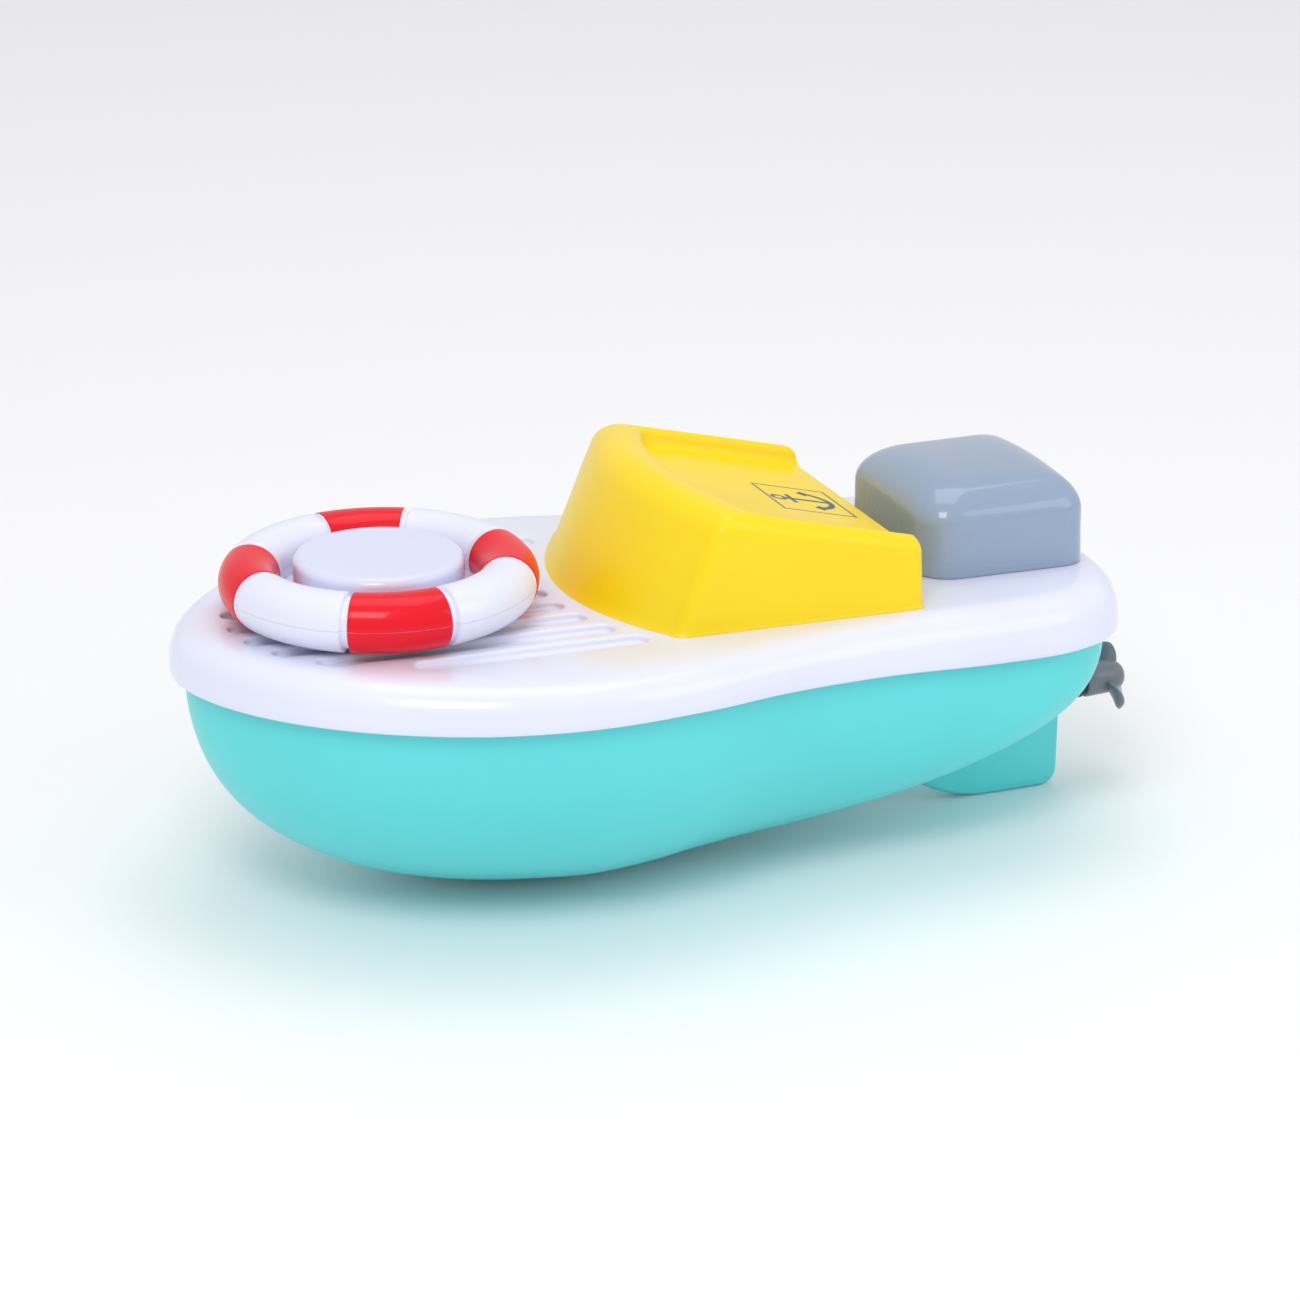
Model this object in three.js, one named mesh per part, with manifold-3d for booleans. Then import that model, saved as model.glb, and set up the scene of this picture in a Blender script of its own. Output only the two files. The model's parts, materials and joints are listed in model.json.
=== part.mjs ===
// Wind-up toy boat. The life ring on the foredeck winds a spring motor, and the motor turns the
// stern propeller through two spur stages and a crown gear.
// Millimetres. X runs aft, Y to starboard, Z up from the surface that the boat stands on.
// The vertical plane Y = 0 is the centre plane. Fore and aft places below are given in the
// drawing's own X, and the whole boat is then moved so that X = 0 is half way along its length.
import * as THREE from 'three';
import { mergeVertices } from 'three/addons/utils/BufferGeometryUtils.js';
import Module from 'manifold-3d';

const wasm = await Module();
wasm.setup();

// ---------------------------------------------------------------- driving dimensions
const gap = 0.3;                 // clearance between neighbouring pieces
const wall = 2.2;                // moulded wall thickness

const ringX = -53.5;             // upright axis of the life ring and the winding shaft
const ringZ = 55.8;              // middle height of the life ring
const ringMajor = 22;            // radius of the ring's centre circle
const ringMinor = 5.05;          // radius of the ring's round section
const neckDepth = 0.75;          // how far the eight necks of the ring sink in
const redStart = -101;           // degrees, middle of one red segment
const redHalf = 20.5;            // degrees, half of a red segment
const hubRadius = 14.5;
const hubTopZ = ringZ + 4.7;

const deckZ = ringZ - 6;         // deck height at the ring
const deckFall = 0.0145;         // fall of the deck per millimetre aft
const lipZ = ringZ - 13.8;       // lower edge of the deck's skirt at the bow
const lipDrop = 3.6;             // how far that edge has dropped at the stern
const hullInset = 2.4;           // how far the hull stands back under the skirt
const hullMiddleX = -13.5;
const propZ = ringZ - 37;        // height of the propeller shaft

const postTopZ = ringZ - 18.4;   // top of the hull's screw posts
const screwSeatZ = ringZ - 25;

const grooveCount = 9;
const groovePitch = 6.8;
const grooveWidth = 4;
const grooveDepth = 1.1;

const toothModule = 1;           // pitch diameter of a gear per tooth
const mainTeeth = 30;
const idlerPinionTeeth = 10;
const idlerWheelTeeth = 24;
const crownPinionTeeth = 10;
const crownTeeth = 20;
const propPinionTeeth = 10;
const below = (distance) => ringZ - distance;
const mainLevel = [below(29), below(26)];        // heights of the first gear pair
const wheelLevel = [below(24.5), below(21.8)];   // heights of the second gear pair
const springLevel = [below(20.5), below(15)];
const lidLevel = [below(13.5), below(11.7)];     // the gearbox's lid

const pitchRadius = (teeth) => teeth * toothModule / 2;
const idlerX = ringX + pitchRadius(mainTeeth) + pitchRadius(idlerPinionTeeth);
const crownX = idlerX + pitchRadius(idlerWheelTeeth) + pitchRadius(crownPinionTeeth);
const propPinionX = crownX + pitchRadius(crownTeeth);
const crownPitchZ = propZ + pitchRadius(propPinionTeeth);

const shaftRadius = 2.5;         // winding shaft
const pinRadius = 1;             // gear axles and propeller shaft
const propTipRadius = 6.6;
const propHub = [80, 88.2];      // fore and aft ends of the propeller's hub
const bladeX = 85.6;             // middle of the blades
const bladeCount = 2;
const bladeTurn = 127;           // degrees, one blade's turn from upright at rest

const bowX = -89.7;
const centreShift = -(bowX + propHub[1]) / 2;    // puts X = 0 half way along the overall length

// ---------------------------------------------------------------- finishes
const finish = (color, roughness, metalness = 0) =>
  new THREE.MeshStandardMaterial({ color, roughness, metalness });
const turquoise = finish('#55dccb', 0.45);
const white = finish('#e9e9fb', 0.22);
const yellow = finish('#fbd918', 0.5);
const red = finish('#e81030', 0.35);
const coverGrey = finish('#94a6c4', 0.2);
const darkGrey = finish('#5b6068', 0.45);
const natural = finish('#ece8dc', 0.4);
const gearBlue = finish('#8fb7d6', 0.4);
const rubber = finish('#26282b', 0.8);
const steel = finish('#b9bdc2', 0.3, 1);

const group = new THREE.Group();
group.position.x = centreShift;
const add = (name, geometry, material, parent = group) => {
  const mesh = new THREE.Mesh(geometry, material);
  mesh.name = name;
  parent.add(mesh);
  return mesh;
};

// ---------------------------------------------------------------- solids
const clean = (geometry) => {
  const bare = geometry.clone();
  bare.deleteAttribute('normal');
  bare.deleteAttribute('uv');
  return mergeVertices(bare, 1e-4);
};

const solid = (geometry) => {
  const closed = clean(geometry);
  return new wasm.Manifold(new wasm.Mesh({
    numProp: 3,
    vertProperties: new Float32Array(closed.attributes.position.array),
    triVerts: new Uint32Array(closed.index.array),
  }));
};

const geometryOf = (body) => {
  const mesh = body.getMesh();
  const geometry = new THREE.BufferGeometry();
  geometry.setAttribute('position', new THREE.BufferAttribute(mesh.vertProperties, 3));
  geometry.setIndex(new THREE.BufferAttribute(mesh.triVerts, 1));
  return geometry;
};

const volumeOf = (points, triangles) => triangles.reduce((sum, [a, b, c]) =>
  sum + points[a].dot(new THREE.Vector3().crossVectors(points[b], points[c])) / 6, 0);

// A closed body from its corner points and triangles, turned to face outwards.
const closedBody = (points, triangles) => {
  const geometry = new THREE.BufferGeometry();
  const outwards = volumeOf(points, triangles) > 0;
  geometry.setAttribute('position',
    new THREE.Float32BufferAttribute(points.flatMap((p) => [p.x, p.y, p.z]), 3));
  geometry.setIndex(triangles.flatMap(([a, b, c]) => (outwards ? [a, b, c] : [c, b, a])));
  return geometry;
};

// A closed skin over rings of equal count. A fan about its middle caps each end ring.
const skin = (rings) => {
  const count = rings[0].length;
  const middle = (ring) => ring.reduce((sum, p) => sum.add(p), new THREE.Vector3())
    .divideScalar(count);
  const points = [...rings.flat(), middle(rings[0]), middle(rings.at(-1))];
  const last = (rings.length - 1) * count;
  const triangles = [];
  for (let i = 0; i < count; i += 1) {
    const next = (i + 1) % count;
    triangles.push([next, i, points.length - 2], [last + i, last + next, points.length - 1]);
    for (let row = 0; row < last; row += count) {
      triangles.push([row + i, row + next, row + next + count]);
      triangles.push([row + i, row + next + count, row + i + count]);
    }
  }
  return closedBody(points, triangles);
};

const cylinder = (x, y, low, high, radius, sides = 16) =>
  new THREE.CylinderGeometry(radius, radius, high - low, sides)
    .rotateX(Math.PI / 2).translate(x, y, (low + high) / 2);

const cylinderX = (low, high, radius, y = 0, z = propZ, sides = 16) =>
  new THREE.CylinderGeometry(radius, radius, high - low, sides)
    .rotateZ(Math.PI / 2).translate((low + high) / 2, y, z);

const block = (x0, x1, y0, y1, z0, z1) =>
  new THREE.BoxGeometry(x1 - x0, y1 - y0, z1 - z0)
    .translate((x0 + x1) / 2, (y0 + y1) / 2, (z0 + z1) / 2);

const lathe = (profile, x, y, z, sides = 20) =>
  new THREE.LatheGeometry(profile.map(([r, h]) => new THREE.Vector2(r, h)), sides)
    .rotateX(Math.PI / 2).translate(x, y, z);

const prism = (shape, low, high, curveSegments = 8) =>
  new THREE.ExtrudeGeometry(shape, { depth: high - low, bevelEnabled: false, curveSegments })
    .translate(0, 0, low);

const ease = (t) => {
  const u = Math.min(Math.max(t, 0), 1);
  return u * u * (3 - 2 * u);
};

// ---------------------------------------------------------------- plan of the boat
const halfPlan = [
  [bowX, 0], [-87.4, 10.5], [-81.4, 21], [-72.5, 30.3], [-61, 38.2], [-47, 44.2], [-29.5, 47],
  [-11.5, 45], [5, 40.6], [25, 37], [46.5, 36], [61, 34.2], [71, 29], [76, 19], [77.4, 8],
  [77.6, 0],
];
const planPoints = 44;
const plan = (() => {
  const back = halfPlan.slice(1, -1).reverse().map(([x, y]) => [x, -y]);
  const points = [...halfPlan, ...back].map(([x, y]) => new THREE.Vector3(x, y, 0));
  const curve = new THREE.CatmullRomCurve3(points, true, 'centripetal');
  return curve.getSpacedPoints(planPoints).slice(0, planPoints);
})();

// The plan outline moved inwards, square to itself.
const insetPlan = (inset) => plan.map((p, i) => {
  const before = plan.at(i - 1);
  const after = plan[(i + 1) % planPoints];
  const along = after.clone().sub(before).normalize();
  return new THREE.Vector3(p.x + along.y * inset, p.y - along.x * inset, 0);
});

const deckTopZ = (x) => deckZ - deckFall * (x - ringX);
const skirtZ = (x) => lipZ - lipDrop * ease((x + 30) / 100);
const hullTopZ = (x) => deckTopZ(x) - 5.5;

// ---------------------------------------------------------------- deck
const deckSection = [
  [7.6, 1], [4.8, 0.965], [2.6, 0.88], [1, 0.72], [0.15, 0.46], [0, 0.2], [0.5, 0],
];
const deckRing = (inset, rise, thickness) => insetPlan(inset).map((p) => {
  const height = deckTopZ(p.x) - skirtZ(p.x);
  return new THREE.Vector3(p.x, p.y, skirtZ(p.x) + rise * height - thickness);
});

const screwPosts = [[-65, 21.5], [-65, -21.5], [54, 19], [54, -19]];
const gearboxPosts = [[-38, 20.5], [-38, -20.5]];
const ballastScrews = [[-34.5, 0], [-18.5, 0]];
const ballastLowZ = 6.1;
const cabinScrews = [[20, 22], [20, -22]];
const coverScrews = [[55.5, 10.5], [55.5, -10.5]];

const deck = (() => {
  const inside = [[7.6, 1, wall], [4.8, 0.94, wall], [2.3, 0.6, 0.8], [1.7, 0, 0]];
  const rings = [
    ...inside.map(([inset, rise, thickness]) => deckRing(inset, rise, thickness)),
    ...[...deckSection].reverse().map(([inset, rise]) => deckRing(inset, rise, 0)),
  ];
  let body = solid(skin(rings));
  for (let i = 0; i < grooveCount; i += 1) {
    const y = (i - (grooveCount - 1) / 2) * groovePitch;
    const fore = ringX - Math.sqrt(27.5 ** 2 - y ** 2) + grooveWidth / 2;
    const aft = ringX + 30 + 7.2 * (y / 26.2) ** 2 - grooveWidth / 2;
    const slot = new THREE.Shape();
    slot.absarc(fore, y, grooveWidth / 2, Math.PI / 2, 3 * Math.PI / 2);
    slot.absarc(aft, y, grooveWidth / 2, -Math.PI / 2, Math.PI / 2);
    body = body.subtract(solid(prism(slot, deckTopZ((fore + aft) / 2) - grooveDepth, 60, 2)));
  }
  body = body.add(solid(cylinder(ringX, 0, deckZ - wall - 1.4, deckZ + 0.5, 7, 24)));
  body = body.subtract(solid(cylinder(ringX, 0, 40, 60, shaftRadius + gap, 24)));
  body = body.subtract(solid(cylinder(ringX, 0, deckZ - 1, 60, 4.7, 20)));
  for (const [x, y] of screwPosts) {
    body = body.add(solid(cylinder(x, y, postTopZ + gap, deckTopZ(x) - 1, 3.6, 12)));
    body = body.subtract(solid(cylinder(x, y, 30, deckTopZ(x) - 2.5, 1.4, 8)));
  }
  for (const [x, y] of gearboxPosts) {
    body = body.add(solid(cylinder(x, y, lidLevel[1] + gap, deckTopZ(x) - 1, 2.8, 16)));
    body = body.subtract(solid(cylinder(x, y, 30, 50, 1.3, 10)));
  }
  for (const [x, y] of [...cabinScrews, ...coverScrews]) {
    body = body.subtract(solid(cylinder(x, y, 30, 60, 1.3, 10)));
  }
  return geometryOf(body);
})();
add('deck', deck, white);

// ---------------------------------------------------------------- hull
const keelZ = (x) => -0.4 + 11 * Math.max(0, (x + 25) / 73) ** 1.25;
const hullRing = (depth, thickness, floorZ) => insetPlan(hullInset + thickness).map((p) => {
  const fullness = 2.3 + 0.9 * ease((-15 - p.x) / 60) + 2.2 * ease((p.x - 5) / 60);
  const bilge = 1.45 + 0.45 * ease((-30 - p.x) / 30) + 0.35 * ease((p.x + 30) / 30)
    + 1.5 * ease((p.x - 5) / 60);
  const reach = (1 - depth ** fullness) ** (1 / bilge);
  const x = hullMiddleX + (p.x - hullMiddleX) * reach;
  const z = hullTopZ(x) - depth * (hullTopZ(x) - keelZ(x) - thickness);
  return new THREE.Vector3(x, p.y * reach, Math.max(z, floorZ));
});

const skegShape = (() => {
  const shape = new THREE.Shape();
  shape.moveTo(38, 12);
  shape.quadraticCurveTo(48, 0.4, 60, 0);
  shape.lineTo(71.5, 0.1);
  shape.quadraticCurveTo(74.5, 0.3, 74.6, 3.2);
  shape.lineTo(74.8, 13.5);
  shape.lineTo(66, 24);
  shape.lineTo(38, 24);
  shape.closePath();
  return shape;
})();
const skegThickness = 4;
const sternBossX = 73.5;         // aft end of the boss that holds the stern tube

const hullDepths = [0, 0.25, 0.46, 0.64, 0.78, 0.88, 0.95, 0.985, 0.998];

const hullOutside = solid(skin(hullDepths.map((depth) => hullRing(depth, 0, -5))))
  .subtract(solid(block(-90, 90, -50, 50, -10, 0)));
const screwBore = 3;             // radius of the bores that sink the hull screws

const hull = (() => {
  const open = hullRing(0, wall, 0).map((p) => p.clone().setZ(p.z + 3));
  const inside = hullDepths.slice(0, -1).map((depth) => hullRing(depth, wall, wall));
  let cavity = solid(skin([open, ...inside]));
  for (const [x, y] of screwPosts) {
    cavity = cavity.subtract(solid(cylinder(x, y, 0, postTopZ, 4.6, 12)));
  }
  let body = hullOutside.subtract(cavity);
  for (const [x, y] of ballastScrews) {
    body = body.add(solid(cylinder(x, y, 0.6, ballastLowZ - gap, 3, 12)));
    body = body.subtract(solid(cylinder(x, y, wall - 0.4, 10, 1.35, 8)));
  }
  for (const [x, y] of screwPosts) {
    body = body.subtract(solid(cylinder(x, y, -5, screwSeatZ, screwBore, 12)));
    body = body.subtract(solid(cylinder(x, y, -5, 60, 1.4, 8)));
  }
  body = body.add(solid(cylinderX(46, sternBossX, 5.2, 0, propZ, 16)));
  body = body.subtract(solid(cylinderX(30, 90, 3.5, 0, propZ, 16)));
  return geometryOf(body);
})();
add('hull', hull, turquoise);

// A plug closes each screw bore, flush with the hull.
screwPosts.forEach(([x, y], i) => {
  const core = solid(cylinder(x, y, -5, screwSeatZ - 2.2, screwBore - gap, 16));
  add(`hull_plug_${i + 1}`, geometryOf(core.intersect(hullOutside)), turquoise);
});

// The skeg's top edge follows the hull's bottom, clear of it by the gap.
const skegBlank = new THREE.ExtrudeGeometry(skegShape,
  { depth: skegThickness, bevelEnabled: false, curveSegments: 6 })
  .rotateX(Math.PI / 2).translate(0, skegThickness / 2, 0);
const aroundHull = solid(skin(hullDepths.map((depth) => hullRing(depth, -gap, -5))))
  .add(solid(cylinderX(40, 80, 5.2 + gap, 0, propZ, 16)));
add('skeg', geometryOf(solid(skegBlank).subtract(aroundHull)), turquoise);

// A rubber gasket on the hull's top edge, under the deck.
const sealRing = (inset, rise) => insetPlan(hullInset + inset)
  .map((p) => new THREE.Vector3(p.x, p.y, hullTopZ(p.x) + rise));
const sealHeight = 1.2;
const seal = solid(skin([sealRing(0.8, gap), sealRing(0.8, sealHeight)]))
  .subtract(solid(skin([sealRing(wall - 0.1, -1), sealRing(wall - 0.1, 3)])));
add('hull_seal', geometryOf(seal), rubber);

// ---------------------------------------------------------------- cabin
const cabin = {
  front: -10.9, rear: 34.6, halfWidth: 29.3, bulge: 9.4, corner: 3, rake: 8.6, draft: 0.2,
  frontTopZ: ringZ + 14.1, fall: 0.25, wall: 2, rim: 3.6, recess: 3.2,
};
const roundedPlan = (front, rear, half, bulge, corner, curvePoints) => {
  const shape = new THREE.Shape();
  shape.moveTo(rear, -half + corner);
  shape.lineTo(rear, half - corner);
  shape.quadraticCurveTo(rear, half, rear - corner, half);
  shape.lineTo(front + corner, half);
  shape.quadraticCurveTo(front, half, front - 0.3 * corner, half - corner);
  shape.quadraticCurveTo(front - 2 * bulge + 0.3 * corner, 0, front - 0.3 * corner, corner - half);
  shape.quadraticCurveTo(front, -half, front + corner, -half);
  shape.lineTo(rear - corner, -half);
  shape.quadraticCurveTo(rear, -half, rear, corner - half);
  return shape.getPoints(curvePoints).slice(0, -1);
};
const cabinRoofZ = (x) => cabin.frontTopZ - cabin.fall * (x - cabin.front - cabin.rake);
const cabinRing = (rise, inset, baseLift = 0, drop = 0) => roundedPlan(
  cabin.front + cabin.rake * rise + inset, cabin.rear - 0.4 * rise - inset,
  cabin.halfWidth - cabin.draft * rise - inset, cabin.bulge - 3.5 * rise, cabin.corner, 5)
  .map((p) => {
    const base = deckTopZ(p.x) + gap + baseLift;
    return new THREE.Vector3(p.x, p.y, base + rise * (cabinRoofZ(p.x) - drop - base));
  });
const cabinShell = (() => {
  const outer = [[0, -0.5], [0.05, 0], [0.3, 0], [0.6, 0], [0.84, 0.2], [0.94, 0.9], [0.985, 2.2],
    [1, 3.8]];
  let body = solid(skin(outer.map(([rise, inset]) => cabinRing(rise, inset))));
  const slope = Math.atan(cabin.fall);
  const panel = new THREE.Shape(roundedPlan(cabin.front + cabin.rake + cabin.rim + 3, 60,
    cabin.halfWidth - cabin.draft - cabin.rim, cabin.bulge - 4, 2, 4));
  const recess = prism(panel, 0, 20).translate(-cabin.front, 0, 0).rotateY(slope)
    .translate(cabin.front, 0, cabinRoofZ(cabin.front) - cabin.recess);
  body = body.subtract(solid(recess));
  const room = [[0, cabin.wall], [0.6, cabin.wall], [1, cabin.wall + 1]];
  body = body.subtract(solid(skin(room.map(([rise, inset]) =>
    cabinRing(rise, inset, -1, cabin.recess + cabin.wall)))));
  for (const [x, y] of cabinScrews) {
    const postLow = deckTopZ(x) + gap + 0.1;
    body = body.add(solid(cylinder(x, y, postLow, cabinRoofZ(x) - cabin.recess - 1, 3, 16)));
    body = body.subtract(solid(cylinder(x, y, 40, 56, 1.3, 10)));
  }
  return geometryOf(body);
})();
add('cabin', cabinShell, yellow);

// ---------------------------------------------------------------- motor cover
const cover = {
  front: 41.5, rear: 71.5, halfWidth: 18, corner: 5.5, topZ: ringZ + 9, wall: 1.8,
};
const coverRing = (rise, inset, topZ = cover.topZ) => roundedPlan(
  cover.front + inset, cover.rear - inset, cover.halfWidth - inset, 0.5, cover.corner - 0.5 * inset,
  3).map((p) => {
  const base = deckTopZ(p.x) + gap;
  const across = p.y / cover.halfWidth;
  return new THREE.Vector3(p.x, p.y, base + rise * (topZ - base) - rise * 1.6 * across ** 2);
});
const motorCover = (() => {
  const outer = [[0, 0], [0.3, 0.1], [0.6, 0.3], [0.76, 0.8], [0.88, 2], [0.95, 3.8], [0.985, 6],
    [1, 9]];
  let body = solid(skin(outer.map(([rise, inset]) => coverRing(rise, inset))));
  const room = [[-0.1, 1.9], [0.6, 2.1], [0.88, 4], [0.97, 8]];
  body = body.subtract(solid(skin(room.map(([rise, inset]) =>
    coverRing(rise, inset, cover.topZ - cover.wall)))));
  for (const [x, y] of coverScrews) {
    body = body.add(solid(cylinder(x, y, deckTopZ(x) + gap, cover.topZ - cover.wall, 2.6, 16)));
    body = body.subtract(solid(cylinder(x, y, 40, 58, 1.3, 10)));
  }
  return geometryOf(body);
})();
add('motor_cover', motorCover, coverGrey);

// ---------------------------------------------------------------- life ring, the winding knob
const ringStations = (() => {
  const stations = [];
  const neck = 0.8;
  for (let quarter = 0; quarter < 4; quarter += 1) {
    const centre = redStart + 90 * quarter;
    for (const [from, to] of [[centre - redHalf, centre + redHalf],
      [centre + redHalf, centre + 90 - redHalf]]) {
      stations.push([from, 1], [from + neck, 1], [from + neck + 0.3, 0]);
      stations.push([(from + to) / 2, 0]);
      stations.push([to - neck - 0.3, 0], [to - neck, 1]);
    }
  }
  return stations;
})();
// Half of the hollow ring: low and high are angles round its section, in degrees.
const ringShell = (low, high) => {
  const steps = 5;
  const thickness = 1.5;
  const sections = ringStations.map(([turn, sunk]) => {
    const outer = ringMinor - neckDepth * sunk;
    const inner = ringMinor - neckDepth - thickness;
    const round = (radius, k) => {
      const margin = Math.asin(gap / 2 / radius) * 180 / Math.PI;
      const angle = (low + margin + (high - low - 2 * margin) * k / steps) * Math.PI / 180;
      return [radius * Math.cos(angle), radius * Math.sin(angle)];
    };
    const loop = [];
    for (let k = 0; k <= steps; k += 1) loop.push(round(outer, k));
    for (let k = steps; k >= 0; k -= 1) loop.push(round(inner, k));
    const phi = turn * Math.PI / 180;
    return loop.map(([r, h]) => new THREE.Vector3(
      ringX + (ringMajor + r) * Math.cos(phi), (ringMajor + r) * Math.sin(phi), ringZ + h));
  });
  return closedSweep(sections);
};
// A closed loop of equal sections, joined all the way round.
const closedSweep = (sections) => {
  const count = sections[0].length;
  const points = sections.flat();
  const triangles = [];
  sections.forEach((section, s) => {
    const here = s * count;
    const there = ((s + 1) % sections.length) * count;
    for (let i = 0; i < count; i += 1) {
      const next = (i + 1) % count;
      triangles.push([here + i, here + next, there + next], [here + i, there + next, there + i]);
    }
  });
  return closedBody(points, triangles);
};

const webLevel = [below(3.8), below(2)];  // the disc that joins the ring to the winding shaft
const hexHead = 3.4;             // across-corners radius of the shaft's hexagonal head
add('ring_upper_shell', ringShell(0, 180), white);
const lowerShell = solid(ringShell(180, 360))
  .add(solid(cylinder(ringX, 0, webLevel[0], webLevel[1], 18.4, 28)))
  .subtract(solid(cylinder(ringX, 0, 48, 60, hexHead + gap, 6)));
add('ring_lower_shell', geometryOf(lowerShell), red);

const hubFloor = webLevel[1] + gap;
add('hub_cap', lathe([[0, hubTopZ - 1.8], [hubRadius - 2.2, hubTopZ - 1.8],
  [hubRadius - 2.2, hubFloor], [hubRadius - 0.4, hubFloor], [hubRadius, hubFloor + 0.6],
  [hubRadius, hubTopZ - 1.6], [hubRadius - 0.5, hubTopZ - 0.5], [hubRadius - 1.7, hubTopZ],
  [0, hubTopZ]], ringX, 0, 0, 28), white);

const shaftLowZ = mainLevel[0] - 1.4;
const windingShaft = solid(cylinder(ringX, 0, shaftLowZ, webLevel[0] - gap, shaftRadius, 24))
  .add(solid(cylinder(ringX, 0, webLevel[0] - 0.6, webLevel[1], hexHead, 6)))
  .subtract(solid(cylinder(ringX, 0, 44, 60, 1.3, 10)));
add('winding_shaft', geometryOf(windingShaft), steel);

const screw = (name, x, y, headZ, tipZ, head = 2.6, shank = 1.05) => {
  const up = Math.sign(headZ - tipZ);
  const headHeight = 1.4 * up;
  const profile = [[0, tipZ], [shank * 0.5, tipZ + 0.4 * up], [shank, tipZ + 1.2 * up],
    [shank, headZ - headHeight], [head, headZ - headHeight], [head, headZ - 0.4 * up],
    [head - 0.5, headZ], [0, headZ]];
  const points = up > 0 ? profile : [...profile].reverse();
  const plain = solid(lathe(points, x, y, 0, 10));
  const slotLow = Math.min(headZ, headZ - 0.8 * up);
  const slot = solid(block(x - head, x + head, y - 0.35, y + 0.35, slotLow, slotLow + 0.8));
  add(name, geometryOf(plain.subtract(slot)), steel);
};
screw('ring_screw', ringX, 0, webLevel[1] + gap + 1.4, webLevel[1] - 7, 4.4);

// ---------------------------------------------------------------- gears
const involute = (base, radius) => {
  const t = Math.sqrt(Math.max(0, (radius / base) ** 2 - 1));
  return t - Math.atan(t);
};
const gearShape = (teeth, backlash = 0.16) => {
  const pitch = pitchRadius(teeth);
  const base = pitch * Math.cos(Math.PI / 9);
  const root = pitch - 1.2 * toothModule;
  const tip = pitch + 0.85 * toothModule;
  const half = Math.PI / 2 / teeth - backlash / pitch / 2 + involute(base, pitch);
  const outline = [];
  const flank = [root, pitch, tip];
  for (let i = 0; i < teeth; i += 1) {
    const middle = (2 * Math.PI * i) / teeth;
    const side = (sign) => flank.map((radius) => {
      const angle = middle + sign * (half - involute(base, radius));
      return [radius * Math.cos(angle), radius * Math.sin(angle)];
    });
    for (const [x, y] of [...side(-1), ...side(1).reverse()]) {
      outline.push(new THREE.Vector2(x, y));
    }
  }
  return new THREE.Shape(outline);
};
const gearSolid = (teeth, low, high, turn = 0) =>
  solid(prism(gearShape(teeth), low, high).rotateZ(turn));
const toothAngle = (teeth) => 2 * Math.PI / teeth;

const mainGear = gearSolid(mainTeeth, ...mainLevel)
  .subtract(solid(cylinder(0, 0, 20, 40, shaftRadius + gap, 24)));
add('main_gear', geometryOf(mainGear), natural).position.set(ringX, 0, 0);

// The pinion's gap faces the main gear's tooth.
const idler = gearSolid(idlerPinionTeeth, mainLevel[0], wheelLevel[0] + 0.1,
  Math.PI + toothAngle(idlerPinionTeeth) / 2)
  .add(gearSolid(idlerWheelTeeth, ...wheelLevel))
  .subtract(solid(cylinder(0, 0, 20, 40, pinRadius + gap, 12)));
add('idler_gear', geometryOf(idler), gearBlue).position.set(idlerX, 0, 0);

const crownGap = 0.25;
const crownFace = [1.3, 1.2];    // how far the teeth reach inwards and outwards of the pitch circle
const crownTooth = () => {
  const half = (radius, height) => {
    const width = Math.PI * radius / crownTeeth - 0.3;
    return width / 2 - height * Math.tan(Math.PI / 9);
  };
  const inner = pitchRadius(crownTeeth) - crownFace[0];
  const outer = pitchRadius(crownTeeth) + crownFace[1];
  const low = -0.8 * toothModule;
  const high = toothModule + crownGap + 0.4;
  const corner = (radius, height, side) => new THREE.Vector3(
    radius, side * half(radius, -height), crownPitchZ + height);
  const ring = (radius) => [corner(radius, low, -1), corner(radius, low, 1),
    corner(radius, high, 1), corner(radius, high, -1)];
  const points = [...ring(inner), ...ring(outer)];
  const quads = [[0, 1, 2, 3], [7, 6, 5, 4], [0, 4, 5, 1], [1, 5, 6, 2], [2, 6, 7, 3], [3, 7, 4, 0]];
  const triangles = quads.flatMap(([a, b, c, d]) => [[a, b, c], [a, c, d]]);
  return closedBody(points, triangles);
};
const crownDiscZ = crownPitchZ + toothModule + crownGap;
const crownRadius = pitchRadius(crownTeeth) + crownFace[1];
let crown = solid(cylinder(0, 0, crownDiscZ, crownDiscZ + 1.8, crownRadius, 30))
  .add(gearSolid(crownPinionTeeth, crownDiscZ + 1, wheelLevel[1],
    Math.PI + toothAngle(crownPinionTeeth) / 2));
for (let i = 0; i < crownTeeth; i += 1) {
  crown = crown.add(solid(crownTooth().rotateZ(toothAngle(crownTeeth) * (i + 0.5))));
}
crown = crown.subtract(solid(cylinder(0, 0, 20, 40, pinRadius + gap, 12)));
add('crown_gear', geometryOf(crown), gearBlue).position.set(crownX, 0, 0);

const pinionWidth = 2.2;
const propPinion = gearSolid(propPinionTeeth, -pinionWidth / 2, pinionWidth / 2)
  .subtract(solid(cylinder(0, 0, -5, 5, pinRadius + gap, 12)));
const propPinionMesh = add('prop_pinion', geometryOf(propPinion).rotateY(Math.PI / 2), natural);
propPinionMesh.position.set(propPinionX, 0, propZ);

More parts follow.
